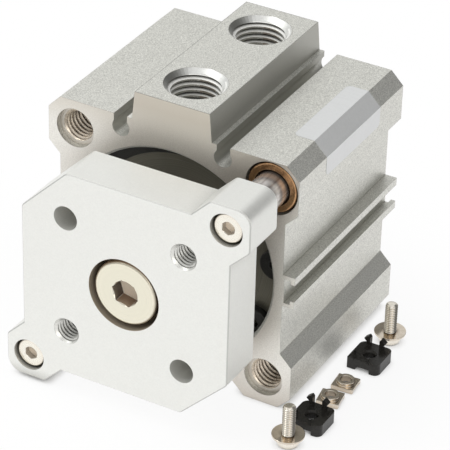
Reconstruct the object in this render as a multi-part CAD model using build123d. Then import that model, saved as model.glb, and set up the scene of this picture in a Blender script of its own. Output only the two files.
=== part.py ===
from build123d import *
import os

# Compact guide-rod air cylinder, double acting, with its loose switch-mounting kit.
# Millimetres.  Origin: bore axis at the rear (head end) mounting face.
# +Z up through the port block, +X towards the switch rail side, the end plate lies towards -Y.

# ---- cylinder body ----
bore_d = 50.0
stroke = 10.0
body_length = 50.5
body_width = 64.0
corner_chamfer = 3.2
recess_depth = 3.0             # sides and underside, between the corner bosses
recess_half_opening = 20.15
head_wall = 7.5

# ---- port block and switch grooves on top ----
block_top_z = 39.0
block_half_top = 9.5
block_half_foot = 10.15
groove_x = 13.0
groove_z = 28.95
groove_r = 2.2
groove_neck_inner = 11.45
groove_neck_outer = 14.8

# ---- switch rail with its T-slot ----
rail_half_height = 4.1
slot_neck = 4.4
slot_width = 6.4
slot_lip = 1.1
slot_depth = 2.65

# ---- ports, NPT 1/4 ----
port_inset = 10.5              # from each end of the body
port_minor_d = 11.4
port_entry_d = 14.6
port_depth = 10.8
passage_d = 3.6

# ---- corner holes, 50 mm square pitch ----
corner_pitch = 25.0
tap_d = 6.8                    # M8 x 1.25, both ends
tap_entry_d = 9.7
tap_entry_depth = 1.5
guide_pitch = 25.25            # the guide rods, on the other diagonal
guide_d = 8.0
running_fit = 0.05
bush_d = 12.2
bush_entry_d = 13.0
bush_entry_depth = 1.2
bush_edge_r = 0.5
bush_seat_end = 13.0           # from the rear face
guide_relief_d = 9.0
front_bush_length = 12.5
rear_bush_length = 11.0
bush_inset = 0.2

# ---- front end of the bore: stations are depths behind the front face ----
cover_seat_d = 52.6
bore_entry_chamfer = 0.6
ring_front = 4.5
ring_groove = 2.0
ring_groove_d = 55.8
cover_flange_end = 12.0
cover_end = 16.0
cover_face_d = 41.3            # shallow turned recess in the cover's front face
cover_face_depth = 0.6
cover_spigot_d = 48.6
seal_pocket_d = 28.0
seal_pocket_end = 11.2
gasket_groove_d = 48.4
gasket_width = 2.0
gasket_mid_depth = 9.2
rod_bush_d = 24.0
bumper_inner_d = 30.0
bumper_outer_d = 40.0
bumper_seat = 1.5
bumper_thickness = 2.0
bumper_gap = 0.25

# ---- retaining ring ----
ring_thickness = 1.95
ring_outer_d = 55.4
ring_inner_d = 47.2
ring_eccentricity = 0.9
ring_lug_r = 3.7
ring_lug_centre_r = 24.4
ring_lug_hole_d = 2.5
ring_gap_angle = -16.0
ring_lug_half_angle = 21.2

# ---- piston ----
piston_d = 49.4
piston_length = 15.5
piston_seal_offset = 3.0       # seal groove behind the piston's front face
piston_seal_width = 4.0
piston_seal_floor_d = 42.0
magnet_offset = 9.0
magnet_width = 5.0
magnet_floor_d = 43.0
magnet_d = 48.8
rod_d = 20.0
rod_spigot_d = 12.0
swage_d = 16.0
swage_length = 2.0

# ---- end plate ----
plate_gap = 8.0                # end plate to body with the piston fully in
plate_thickness = 12.0
plate_half = 26.5
plate_corner_cut = 41.3        # |x| + |z| along the two cut corners
ear_half = 31.1
ear_root = 16.6
ear_corner_r = 3.4
ear_blend_r = 1.6
plate_edge_break = 0.25
plate_hole_pitch = 15.0
plate_tap_d = 5.0              # M6
plate_tap_entry_d = 6.6
dowel_d = 6.0
rod_pocket_depth = 1.5
guide_pocket_depth = 3.0

# ---- plate screws ----
centre_cbore_d = 18.0
centre_cbore_depth = 7.0
centre_head_d = 16.0
centre_head_h = 6.4
centre_head_edge_r = 0.8
centre_shank_d = 10.0
centre_shank_length = 20.0
centre_hex = 6.0
centre_hex_depth = 3.5
centre_hex_turn = 47.0
ear_cbore_d = 8.0
ear_cbore_depth = 4.9
ear_head_d = 7.0
ear_head_h = 4.0
ear_head_edge_r = 0.3
ear_shank_d = 4.0
ear_shank_length = 12.0
ear_hex = 3.0
ear_hex_depth = 1.6
ear_hex_turn = 30.0
screw_hole_play = 0.5

# ---- loose switch-mounting kit, lying on the floor at the rail side ----
floor_z = -body_width / 2
kit_bracket_size = 8.0
kit_bracket_h = 3.05
kit_channel_w = 3.6
kit_channel_h = 1.0
kit_pin_pitch = 3.2
kit_pin_offset = -0.3
kit_pin_w = 0.8
kit_pin_top = 5.5
kit_barb = 0.8
kit_screw_hole_d = 2.6
kit_rib_slot = 0.6
kit_nut_x = 5.4
kit_nut_y = 5.2
kit_nut_top = 1.2
kit_nut_sheet = 0.8
kit_nut_boss_d = 4.3
kit_nut_boss_top = 2.0
kit_thread_d = 3.0
kit_head_d = 5.4
kit_head_h = 1.8
kit_spring_washer_d = 5.8
kit_spring_washer_h = 0.6
kit_washer_d = 7.6
kit_washer_h = 0.5
kit_screw_top = 10.7
kit_brackets = {"front": (38.7, -52.0), "rear": (39.2, -24.1)}
kit_nuts = {"front": (38.1, -42.0, 9), "rear": (38.4, -34.9, 5)}
kit_screws = {"front": (37.5, -61.3), "rear": (38.9, -13.1)}

# ---- stations along Y ----
front_y = -body_length
plate_back_y = front_y - plate_gap
plate_front_y = plate_back_y - plate_thickness
chamber_end = body_length - head_wall
piston_back = chamber_end - (bumper_thickness - bumper_seat) - bumper_gap
piston_front = piston_back - piston_length


def station(depth):
    """Y of a section that lies depth behind the body's front face."""
    return front_y + depth


def across(y, sketch):
    """Lay a sketch drawn in X and Z across the bore axis at y."""
    return Plane.XZ.offset(-y) * sketch


def bar(diameter, y_front, y_back, x=0, z=0):
    """Round bar along Y between two stations."""
    return extrude(across(y_back, Pos(x, z) * Circle(diameter / 2)), y_back - y_front)


def cone(d_front, d_back, y_front, y_back, x=0, z=0):
    """Tapered plug along Y, used for entry chamfers."""
    front = across(y_front, Pos(x, z) * Circle(d_front / 2))
    back = across(y_back, Pos(x, z) * Circle(d_back / 2))
    return loft([front, back])


def turned(*points):
    """Solid of revolution about Y from (radius, y) points."""
    return revolve(make_face(Polyline(*points, close=True)), Axis.Y)


def tube_ring(outer_d, inner_d, y_front, y_back, x=0, z=0):
    """Plain round sleeve along Y."""
    return bar(outer_d, y_front, y_back, x, z) - bar(inner_d, y_front, y_back, x, z)


def key_socket(across_flats, y_front, y_back, turn, x=0, z=0):
    """Hexagonal key socket along Y with a round lead-in."""
    hexagon = RegularPolygon(across_flats / 2, 6, major_radius=False, rotation=turn)
    socket = extrude(across(y_back, Pos(x, z) * hexagon), y_back - y_front)
    mouth_d = across_flats * 1.08
    lead_in = across_flats * 0.04
    return socket + cone(mouth_d, across_flats, y_front, y_front + lead_in, x, z)


# ---------------------------------------------------------------- cylinder body

def side_recess():
    """Shallow trough with 45 degree ends between two corner bosses, drawn on the +X side."""
    outer = body_width / 2
    inner = outer - recess_depth
    half = recess_half_opening
    floor_half = half - recess_depth
    return make_face(Polyline(
        (outer, half), (inner, floor_half), (inner, -floor_half), (outer, -half), close=True))


def switch_rail():
    """Raised rail with an undercut T-slot, drawn on the +X side."""
    outer = body_width / 2
    root = outer - recess_depth
    rail = Pos((root + outer) / 2, 0) * Rectangle(recess_depth, 2 * rail_half_height)
    neck = Pos(outer - slot_lip / 2, 0) * Rectangle(slot_lip, slot_neck)
    tee_depth = slot_depth - slot_lip
    tee = Pos(outer - slot_lip - tee_depth / 2, 0) * Rectangle(tee_depth, slot_width)
    return rail - neck - tee


def port_block():
    """Slightly tapered block on top that carries both ports."""
    top = body_width / 2
    block = make_face(Polyline(
        (-block_half_foot, top - 1), (-block_half_foot, top), (-block_half_top, block_top_z),
        (block_half_top, block_top_z), (block_half_foot, top), (block_half_foot, top - 1), close=True))
    return block


def switch_groove():
    """Round-bottomed switch groove beside the port block, drawn on the +X side."""
    top = body_width / 2
    middle = (groove_neck_inner + groove_neck_outer) / 2
    width = groove_neck_outer - groove_neck_inner
    neck = Pos(middle, (groove_z + top) / 2) * Rectangle(width, top - groove_z)
    return neck + Pos(groove_x, groove_z) * Circle(groove_r)


def body_outline():
    """Cross-section of the extruded body."""
    square = Rectangle(body_width, body_width)
    square = chamfer(square.vertices(), corner_chamfer)
    outline = square - side_recess() - mirror(side_recess(), Plane.YZ)
    outline -= Rot(0, 0, -90) * side_recess()
    outline += switch_rail() + mirror(switch_rail(), Plane.YZ)
    outline += port_block()
    return outline - switch_groove() - mirror(switch_groove(), Plane.YZ)


def main_bore():
    """Stepped bore: entry chamfer, cover seat, ring groove, piston bore, head wall."""
    seat = cover_seat_d / 2
    entry = seat + bore_entry_chamfer
    groove = ring_groove_d / 2
    bore = bore_d / 2
    return turned(
        (0, station(0)), (entry, station(0)), (seat, station(bore_entry_chamfer)),
        (seat, station(ring_front)), (groove, station(ring_front)),
        (groove, station(ring_front + ring_groove)), (seat, station(ring_front + ring_groove)),
        (seat, station(cover_flange_end)), (bore, station(cover_flange_end)),
        (bore, station(chamber_end)), (0, station(chamber_end)))


def bumper_seat_ring(y_front, y_back):
    return tube_ring(bumper_outer_d, bumper_inner_d, y_front, y_back)


def port(y, passage_y):
    """NPT port with its entry chamfer, and the small passage down to the chamber."""
    entry_h = (port_entry_d - port_minor_d) / 2
    hole = Pos(0, y, block_top_z - port_depth / 2) * Cylinder(port_minor_d / 2, port_depth)
    entry = Pos(0, y, block_top_z - entry_h / 2) * Cone(port_minor_d / 2, port_entry_d / 2, entry_h)
    passage_h = block_top_z - port_depth - bore_d / 2 + 1.5
    passage = Pos(0, passage_y, bore_d / 2 - 1 + passage_h / 2) * Cylinder(passage_d / 2, passage_h)
    return hole + entry + passage


def body_tap(x, z):
    """Through hole for M8 threads from both ends, each with a plain entry."""
    hole = bar(tap_d, front_y, 0, x, z)
    hole += bar(tap_entry_d, front_y, front_y + tap_entry_depth, x, z)
    return hole + bar(tap_entry_d, -tap_entry_depth, 0, x, z)


def guide_bore(x, z):
    """Entry and bush seat from the front, then a relief through to the rear face."""
    seat = bar(bush_d, front_y, -bush_seat_end, x, z)
    seat += bar(bush_entry_d, front_y, front_y + bush_entry_depth, x, z)
    return seat + bar(guide_relief_d, -bush_seat_end, 0, x, z)


def tube_body():
    body = extrude(across(0, body_outline()), body_length)
    body -= main_bore()
    body -= bumper_seat_ring(station(chamber_end), station(chamber_end + bumper_seat))
    body -= port(front_y + port_inset, station(cover_flange_end + 2.2))
    body -= port(-port_inset, station(chamber_end - 2.2))
    for side in (-1, 1):
        body -= body_tap(side * corner_pitch, -side * corner_pitch)
        body -= guide_bore(side * guide_pitch, side * guide_pitch)
    return body


def guide_bush(x, z, y_front, length):
    """Bronze bush with a rounded outer edge and a chamfered bore mouth."""
    y_back = y_front + length
    inner_d = guide_d + 2 * running_fit
    bush = bar(bush_d, y_front, y_back, x, z)
    bush = fillet(bush.edges().filter_by(GeomType.CIRCLE).sort_by(Axis.Y)[0], bush_edge_r)
    bush -= bar(inner_d, y_front, y_back, x, z)
    return bush - cone(inner_d + 0.9, inner_d, y_front, y_front + 0.45, x, z)


# ---------------------------------------------------------------- front end parts

def rod_cover():
    """Collar that closes the bore and carries the rod bush, rod seal and gasket."""
    flange = cover_seat_d / 2
    spigot = cover_spigot_d / 2
    face = cover_face_d / 2
    bush = rod_bush_d / 2
    pocket = seal_pocket_d / 2
    flange_y = station(ring_front + ring_groove)
    face_y = flange_y + cover_face_depth
    cover = turned(
        (bush, station(cover_end)), (bush, station(seal_pocket_end)),
        (pocket, station(seal_pocket_end)), (pocket, face_y), (face, face_y), (face, flange_y),
        (flange, flange_y), (flange, station(cover_flange_end)),
        (spigot, station(cover_flange_end)), (spigot, station(cover_end)))
    cover -= bumper_seat_ring(station(cover_end - bumper_seat), station(cover_end))
    half_groove = gasket_width * 0.65
    return cover - tube_ring(
        cover_seat_d + 1, gasket_groove_d,
        station(gasket_mid_depth - half_groove), station(gasket_mid_depth + half_groove))


def retaining_ring():
    """Internal C-ring: eccentric band, two round lugs with plier holes, open gap."""
    gap_at = Rot(0, 0, ring_gap_angle)
    band = Circle(ring_outer_d / 2) - gap_at * Pos(ring_eccentricity, 0) * Circle(ring_inner_d / 2)
    reach = ring_outer_d
    gap = Polygon(
        (0, 0), (reach, reach * 0.40), (reach, -reach * 0.40), align=None)
    ring = band - gap_at * gap
    for side in (-1, 1):
        lug_at = gap_at * Rot(0, 0, side * ring_lug_half_angle) * Pos(ring_lug_centre_r, 0)
        ring += lug_at * Circle(ring_lug_r) & Circle(ring_outer_d / 2)
        ring -= lug_at * Circle(ring_lug_hole_d / 2)
    y_back = station(ring_front + ring_groove)
    return extrude(across(y_back, ring), ring_thickness)


def rod_seal():
    """Lip seal in the cover's front pocket, lips towards the pressure side."""
    outer = seal_pocket_d / 2
    inner = rod_d / 2 + 0.1
    front = station(ring_front + ring_groove + cover_face_depth + 0.2)
    back = station(seal_pocket_end)
    return turned(
        (inner + 0.8, front), (outer, front), (outer, back), (inner + 2.4, back),
        (inner + 1.6, back - 1.8), (inner, back), (inner + 0.4, back - 1.8))


def rod_bush():
    """Bronze bush that carries the piston rod."""
    inner_d = rod_d + 2 * running_fit
    return tube_ring(rod_bush_d, inner_d, station(seal_pocket_end), station(cover_end))


def cover_gasket():
    """Square-section rubber ring between cover and body."""
    middle = station(gasket_mid_depth)
    half = gasket_width / 2
    return tube_ring(cover_seat_d, gasket_groove_d, middle - half, middle + half)


def bumper(y_front):
    return tube_ring(bumper_outer_d, bumper_inner_d, y_front, y_front + bumper_thickness)


# ---------------------------------------------------------------- piston and rods

def piston():
    """One-piece piston with a seal groove, a magnet groove and a relieved rear rim."""
    outer = piston_d / 2
    front = station(piston_front)
    back = station(piston_back)
    seal_y = front + piston_seal_offset
    magnet_y = front + magnet_offset
    body = turned(
        (rod_spigot_d / 2, front), (outer - 1, front), (outer, front + 1),
        (outer, seal_y), (piston_seal_floor_d / 2, seal_y),
        (piston_seal_floor_d / 2, seal_y + piston_seal_width), (outer, seal_y + piston_seal_width),
        (outer, magnet_y), (magnet_floor_d / 2, magnet_y),
        (magnet_floor_d / 2, magnet_y + magnet_width), (outer, magnet_y + magnet_width),
        (outer, back - 1), (outer - 1, back), (rod_spigot_d / 2, back))
    return body - bar(swage_d, back - swage_length, back)


def piston_seal():
    """U-packing in the piston's front groove."""
    floor = piston_seal_floor_d / 2
    outer = piston_d / 2 + 0.05
    front = station(piston_front + piston_seal_offset)
    back = front + piston_seal_width
    middle = (front + back) / 2
    return turned(
        (floor, front), (outer, front), (outer, front + 0.7), (outer - 0.7, front + 1.3),
        (outer - 0.7, middle + 0.7), (outer, back - 0.7), (outer, back), (floor, back))


def piston_magnet():
    """Ring magnet that the switches sense through the body wall."""
    front = station(piston_front + magnet_offset)
    return tube_ring(magnet_d, magnet_floor_d, front, front + magnet_width)


def piston_rod():
    """Hard-chromed rod, tapped at the plate end, swaged into the piston."""
    front = plate_back_y - rod_pocket_depth
    shoulder = station(piston_front)
    back = station(piston_back)
    rod = bar(rod_d, front, shoulder)
    rod = chamfer(rod.edges().filter_by(GeomType.CIRCLE).sort_by(Axis.Y)[0], 0.5)
    rod += bar(rod_spigot_d, shoulder, back - swage_length)
    rod += bar(swage_d, back - swage_length, back - 0.2)
    thread_end = plate_front_y + centre_cbore_depth + centre_shank_length + 1
    return rod - bar(centre_shank_d, front, thread_end)


def guide_rod(x, z):
    """Ground guide rod, seated in the plate and held by one cap screw."""
    front = plate_back_y - guide_pocket_depth
    rod = bar(guide_d, front, -1.5, x, z)
    rod = chamfer(rod.edges().filter_by(GeomType.CIRCLE).sort_by(Axis.Y)[-1], 0.6)
    thread_end = plate_front_y + ear_cbore_depth + ear_shank_length + 1
    return rod - bar(ear_shank_d, front, thread_end, x, z)


# ---------------------------------------------------------------- end plate and its screws

def plate_ear():
    """Ear that carries one guide rod, drawn at the upper +X corner."""
    flank = ear_half - plate_half
    ear = make_face(Polyline(
        (0, 0), (ear_root, plate_half), (ear_root + flank, ear_half), (ear_half, ear_half),
        (ear_half, ear_root + flank), (plate_half, ear_root), close=True))
    tips = ear.vertices().filter_by(lambda v: v.X > ear_half - 0.1 or v.Y > ear_half - 0.1)
    corner = tips.sort_by(lambda v: v.X + v.Y)[-1]
    ear = fillet(corner, ear_corner_r)
    flanks = [v for v in ear.vertices() if abs(v.X + v.Y - ear_root - flank - ear_half) < 0.01]
    return fillet(flanks, ear_blend_r)


def plate_outline():
    """Square plate, two corners cut to reach the body's taps, two with ears."""
    half = plate_half
    short = plate_corner_cut - half
    square = make_face(Polyline(
        (-short, half), (half, half), (half, -short), (short, -half),
        (-half, -half), (-half, short), close=True))
    cut_tips = [v for v in square.vertices() if abs(v.X + v.Y) < plate_corner_cut and v.X * v.Y < 0]
    square = fillet(cut_tips, ear_blend_r)
    ear = plate_ear()
    return square + ear + Rot(0, 0, 180) * ear


def end_plate():
    plate = extrude(across(plate_back_y, plate_outline()), plate_thickness)
    rims = plate.faces().sort_by(Axis.Y)[0].edges() + plate.faces().sort_by(Axis.Y)[-1].edges()
    plate = chamfer(rims, plate_edge_break)
    plate -= bar(centre_cbore_d, plate_front_y, plate_front_y + centre_cbore_depth)
    plate -= bar(centre_shank_d + screw_hole_play, plate_front_y, plate_back_y)
    plate -= bar(rod_d + 0.04, plate_back_y - rod_pocket_depth, plate_back_y)
    for side in (-1, 1):
        x = side * guide_pitch
        plate -= bar(ear_cbore_d, plate_front_y, plate_front_y + ear_cbore_depth, x, x)
        plate -= bar(ear_shank_d + screw_hole_play, plate_front_y, plate_back_y, x, x)
        plate -= bar(guide_d + 0.04, plate_back_y - guide_pocket_depth, plate_back_y, x, x)
        p = side * plate_hole_pitch
        entry = (plate_tap_entry_d - plate_tap_d) / 2
        plate -= bar(dowel_d, plate_front_y, plate_back_y, p, -p)
        plate -= bar(plate_tap_d, plate_front_y, plate_back_y, p, p)
        plate -= cone(plate_tap_entry_d, plate_tap_d, plate_front_y, plate_front_y + entry, p, p)
    return plate


def cap_screw_blank(head_d, head_h, edge_r, shank_d, shank_length, seat_y, x=0, z=0):
    """Round-edged head that seats at seat_y, with its shank behind it."""
    screw = bar(head_d, seat_y - head_h, seat_y, x, z)
    screw = fillet(screw.edges().filter_by(GeomType.CIRCLE).sort_by(Axis.Y)[0], edge_r)
    return screw + bar(shank_d, seat_y, seat_y + shank_length, x, z)


def centre_screw():
    seat_y = plate_front_y + centre_cbore_depth
    top = seat_y - centre_head_h
    screw = cap_screw_blank(
        centre_head_d, centre_head_h, centre_head_edge_r, centre_shank_d, centre_shank_length, seat_y)
    return screw - key_socket(centre_hex, top, top + centre_hex_depth, centre_hex_turn)


def ear_screw(x, z):
    seat_y = plate_front_y + ear_cbore_depth
    top = seat_y - ear_head_h
    screw = cap_screw_blank(
        ear_head_d, ear_head_h, ear_head_edge_r, ear_shank_d, ear_shank_length, seat_y, x, z)
    return screw - key_socket(ear_hex, top, top + ear_hex_depth, ear_hex_turn, x, z)


# ---------------------------------------------------------------- loose kit

def bracket_outline():
    """Square with one sharp front corner and three rounded ones."""
    outline = Rectangle(kit_bracket_size, kit_bracket_size)
    outline = fillet(outline.vertices().sort_by(lambda v: v.Y - v.X)[-1], 1.7)
    outline = fillet(outline.vertices().sort_by(lambda v: v.Y + v.X)[-1], 1.3)
    return fillet(outline.vertices().sort_by(lambda v: v.X - v.Y)[-1], 1.5)


def snap_pin(side):
    """Upright snap pin with a hook on its outer side."""
    half = kit_pin_w / 2
    top = kit_pin_top
    profile = make_face(Polyline(
        (-half, 1), (-half, top - 0.5), (0, top), (half, top - 0.2),
        (half + kit_barb, top - 0.9), (half, top - 1.7), (half, 1), close=True))
    pin = extrude(Plane.XZ.offset(-kit_bracket_size / 2) * profile, 1.3)
    if side < 0:
        pin = mirror(pin, Plane.YZ)
    return Pos(kit_pin_offset + side * kit_pin_pitch / 2, 0, 0) * pin


def kit_bracket(x, y):
    """Moulded switch bracket, feet down, snap pins up at its rear edge."""
    size = kit_bracket_size
    block = extrude(bracket_outline(), kit_bracket_h)
    block -= Pos(-0.1, 0, kit_channel_h / 2) * Box(kit_channel_w, size + 1, kit_channel_h)
    for slot_x, slot_y in ((-2.8, -2.4), (0.85, -3.0)):
        slot = Box(kit_rib_slot, 3.4, 1)
        block -= Pos(slot_x, slot_y, kit_bracket_h) * Rot(0, 0, 27) * slot
    block -= Pos(0.1, -0.5, kit_bracket_h / 2) * Cylinder(kit_screw_hole_d / 2, kit_bracket_h)
    block -= Pos(0.1, -0.5, kit_bracket_h - 0.2) * Cone(
        kit_screw_hole_d / 2, kit_screw_hole_d / 2 + 0.4, 0.4)
    return Pos(x, y, floor_z) * (block + snap_pin(-1) + snap_pin(1))


def kit_nut(x, y, turn):
    """Square slot nut pressed from sheet, with turned-down edges and a threaded boss."""
    sheet_z = kit_nut_top - kit_nut_sheet / 2
    nut = Pos(0, 0, sheet_z) * Box(kit_nut_x, kit_nut_y, kit_nut_sheet)
    for side in (-1, 1):
        edge_y = side * (kit_nut_y - kit_nut_sheet) / 2
        nut += Pos(0, edge_y, kit_nut_top / 2) * Box(kit_nut_x, kit_nut_sheet, kit_nut_top)
    boss_h = kit_nut_boss_top - (kit_nut_top - kit_nut_sheet)
    boss_z = kit_nut_boss_top - boss_h / 2
    nut += Pos(0, 0, boss_z) * Cylinder(kit_nut_boss_d / 2, boss_h)
    nut -= Pos(0, 0, boss_z) * Cylinder(kit_thread_d / 2 - 0.25, boss_h)
    return Pos(x, y, floor_z) * Rot(0, 0, turn) * nut


def kit_screw(x, y):
    """Small cross-recess screw standing on its head."""
    head = Pos(0, 0, kit_head_h / 2) * Cylinder(kit_head_d / 2, kit_head_h)
    head = chamfer(head.edges().sort_by(Axis.Z)[0], 0.5)
    shank_h = kit_screw_top - kit_head_h
    shank = Pos(0, 0, kit_head_h + shank_h / 2) * Cylinder(kit_thread_d / 2, shank_h)
    shank = chamfer(shank.edges().sort_by(Axis.Z)[-1], 0.35)
    return Pos(x, y, floor_z) * (head + shank)


def kit_spring_washer(x, y):
    """Split spring washer, captive on the screw."""
    h = kit_spring_washer_h
    ring = Cylinder(kit_spring_washer_d / 2, h) - Cylinder(kit_thread_d / 2, h)
    ring -= Pos(0, -kit_spring_washer_d / 2, 0) * Rot(0, 25, 0) * Box(0.3, kit_spring_washer_d, 4 * h)
    return Pos(x, y, floor_z + kit_head_h + h / 2) * ring


def kit_washer(x, y):
    """Flat washer, captive on the screw."""
    h = kit_washer_h
    ring = Cylinder(kit_washer_d / 2, h) - Cylinder(kit_thread_d / 2, h)
    return Pos(x, y, floor_z + kit_head_h + kit_spring_washer_h + h / 2) * ring


# ---------------------------------------------------------------- nodes

def all_nodes():
    c = guide_pitch
    rear_bush_y = -bush_seat_end - rear_bush_length
    nodes = {
        "tube_body": tube_body(),
        "rod_cover": rod_cover(),
        "retaining_ring": retaining_ring(),
        "rod_seal": rod_seal(),
        "rod_bush": rod_bush(),
        "cover_gasket": cover_gasket(),
        "bumper_front": bumper(station(cover_end - bumper_seat)),
        "bumper_rear": bumper(station(chamber_end + bumper_seat - bumper_thickness)),
        "guide_bush_upper_front": guide_bush(c, c, front_y + bush_inset, front_bush_length),
        "guide_bush_upper_rear": guide_bush(c, c, rear_bush_y, rear_bush_length),
        "guide_bush_lower_front": guide_bush(-c, -c, front_y + bush_inset, front_bush_length),
        "guide_bush_lower_rear": guide_bush(-c, -c, rear_bush_y, rear_bush_length),
        "piston": piston(),
        "piston_seal": piston_seal(),
        "piston_magnet": piston_magnet(),
        "piston_rod": piston_rod(),
        "end_plate": end_plate(),
        "guide_rod_upper": guide_rod(c, c),
        "guide_rod_lower": guide_rod(-c, -c),
        "centre_screw": centre_screw(),
        "ear_screw_upper": ear_screw(c, c),
        "ear_screw_lower": ear_screw(-c, -c),
    }
    for end in ("front", "rear"):
        nodes["switch_bracket_" + end] = kit_bracket(*kit_brackets[end])
        nodes["switch_nut_" + end] = kit_nut(*kit_nuts[end])
        nodes["switch_screw_" + end] = kit_screw(*kit_screws[end])
        nodes["spring_washer_" + end] = kit_spring_washer(*kit_screws[end])
        nodes["flat_washer_" + end] = kit_washer(*kit_screws[end])
    return nodes


os.makedirs("parts", exist_ok=True)
for name, solid in all_nodes().items():
    solid.label = name
    export_step(solid, os.path.join("parts", name + ".step"))
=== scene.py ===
import math
import bmesh
import bpy
from mathutils import Matrix, Vector


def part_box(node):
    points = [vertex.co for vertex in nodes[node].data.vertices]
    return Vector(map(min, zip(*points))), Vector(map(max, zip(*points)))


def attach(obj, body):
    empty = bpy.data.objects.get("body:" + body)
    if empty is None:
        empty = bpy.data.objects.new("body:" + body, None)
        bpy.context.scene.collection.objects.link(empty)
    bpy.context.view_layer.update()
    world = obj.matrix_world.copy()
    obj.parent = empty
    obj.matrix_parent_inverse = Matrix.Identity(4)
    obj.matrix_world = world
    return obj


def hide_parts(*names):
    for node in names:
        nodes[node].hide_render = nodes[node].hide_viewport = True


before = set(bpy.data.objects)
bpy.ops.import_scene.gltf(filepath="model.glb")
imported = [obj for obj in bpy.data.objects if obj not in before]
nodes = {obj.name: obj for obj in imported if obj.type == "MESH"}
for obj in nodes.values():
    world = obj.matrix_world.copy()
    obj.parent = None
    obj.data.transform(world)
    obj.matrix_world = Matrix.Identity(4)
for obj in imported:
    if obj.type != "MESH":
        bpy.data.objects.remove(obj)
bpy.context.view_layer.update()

# ---------------------------------------------------------------- table and studio
# A sheet of matt white paper on a table, lit by a broad soft lamp overhead, a weaker one in
# front and a pale room.  The paper keeps the shadows of what lies on it, and farther out it
# fades to plain white.
mm = 0.001
paper_half = 3.0
paper_z = nodes["tube_body"].bound_box[0][2] - 0.02 * mm
shadow_middle = (0.004, -0.038, paper_z)
shadow_near = 0.035
shadow_far = 0.095
contact_reach = 2.5 * mm


def place_in_scene(name, data):
    """New object in the scene that shows data."""
    piece = bpy.data.objects.new(name, data)
    bpy.context.scene.collection.objects.link(piece)
    return piece


def blank_material(name):
    """Empty node material and its tree."""
    material = bpy.data.materials.new(name)
    material.use_nodes = True
    material.node_tree.nodes.clear()
    return material, material.node_tree


def add(tree, kind, sockets=None, **settings):
    """New node; settings are its properties, and sockets its inputs as values or links."""
    node = tree.nodes.new(kind)
    for label, value in settings.items():
        setattr(node, label, value)
    for label, value in (sockets or {}).items():
        if isinstance(value, bpy.types.NodeSocket):
            tree.links.new(value, node.inputs[label])
        else:
            node.inputs[label].default_value = value
    return node


def arithmetic(tree, operation, a, b=0.0):
    """One maths node on links or plain numbers; gives its output."""
    return add(tree, "ShaderNodeMath", {0: a, 1: b}, operation=operation).outputs[0]


def remap(tree, value, start=0.0, end=1.0, low=0.0, high=1.0, curve="LINEAR"):
    """Value that goes from low to high as the given one goes from start to end, and no farther."""
    ends = {"Value": value, "From Min": start, "From Max": end, "To Min": low, "To Max": high}
    return add(tree, "ShaderNodeMapRange", ends, interpolation_type=curve).outputs["Result"]


def shade_between(tree, amount, low, high):
    """Colour that goes from low to high with amount; both may be colours or links."""
    mix = {"Factor": amount}
    for label, colour in (("A", low), ("B", high)):
        mix[label] = (*colour, 1) if isinstance(colour, tuple) else colour
    return add(tree, "ShaderNodeMix", mix, data_type="RGBA").outputs["Result"]


mesh = bpy.data.meshes.new("paper")
mesh.from_pydata(
    [(x * paper_half, y * paper_half, paper_z) for x, y in ((-1, -1), (1, -1), (1, 1), (-1, 1))],
    [], [(0, 1, 2, 3)])
paper = place_in_scene("paper", mesh)

# The eye and mirrors see plain white paper, with a tenth of its real shade near the object and
# all of it where something touches it.
material, tree = blank_material("white_paper")
lit = add(tree, "ShaderNodeBsdfDiffuse", {"Color": (0.94, 0.94, 0.94, 1)})
white = add(tree, "ShaderNodeEmission", {"Color": (1, 1, 1, 1), "Strength": 1.0})
ground = add(tree, "ShaderNodeTexCoord").outputs["Object"]
apart = add(tree, "ShaderNodeVectorMath", {0: ground, 1: shadow_middle}, operation="DISTANCE")
fade = remap(
    tree, apart.outputs["Value"], start=shadow_near, end=shadow_far, low=0.90, high=1.0,
    curve="SMOOTHSTEP")
touch = add(tree, "ShaderNodeAmbientOcclusion", {"Distance": contact_reach}, samples=6)
clear = remap(tree, touch.outputs["AO"], start=0.15, end=0.75)
unshaded = arithmetic(tree, "MULTIPLY", fade, clear)
shaded = add(tree, "ShaderNodeMixShader", {0: unshaded, 1: lit.outputs[0], 2: white.outputs[0]})
rays = add(tree, "ShaderNodeLightPath").outputs
seen = arithmetic(tree, "MAXIMUM", rays["Is Camera Ray"], rays["Is Glossy Ray"])
seen = arithmetic(tree, "MAXIMUM", seen, rays["Is Transmission Ray"])
choose = add(tree, "ShaderNodeMixShader", {0: seen, 1: lit.outputs[0], 2: shaded.outputs[0]})
add(tree, "ShaderNodeOutputMaterial", {"Surface": choose.outputs[0]})
paper.data.materials.append(material)

# The room: dim round the horizon, paler overhead and dark behind the object's right shoulder,
# where no lamp stands.  The camera sees plain white instead, and polished metal part of it.
dark_corner = Vector((0.62, 0.66, 0.42)).normalized()
white_in_metal = 0.15
room = bpy.data.worlds.new("pale_room")
room.use_nodes = True
bpy.context.scene.world = room
tree = room.node_tree
tree.nodes.clear()
way = add(tree, "ShaderNodeTexCoord").outputs["Generated"]
upward = add(tree, "ShaderNodeSeparateXYZ", {0: way}).outputs["Z"]
height = add(tree, "ShaderNodeValToRGB", {0: upward})
bands = height.color_ramp.elements
bands[0].position = 0.05
bands[0].color = (0.42, 0.42, 0.41, 1)
bands[1].position = 0.95
bands[1].color = (0.72, 0.72, 0.72, 1)
bands.new(0.45).color = (0.80, 0.81, 0.80, 1)
toward = add(tree, "ShaderNodeVectorMath", {0: way, 1: dark_corner}, operation="DOT_PRODUCT")
dim = remap(
    tree, toward.outputs["Value"], start=0.62, end=0.93, low=1.0, high=0.06, curve="SMOOTHSTEP")
walls = shade_between(tree, dim, (0, 0, 0), height.outputs["Color"])
rays = add(tree, "ShaderNodeLightPath").outputs
mirrored = arithmetic(tree, "MULTIPLY", rays["Is Glossy Ray"], white_in_metal)
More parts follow.
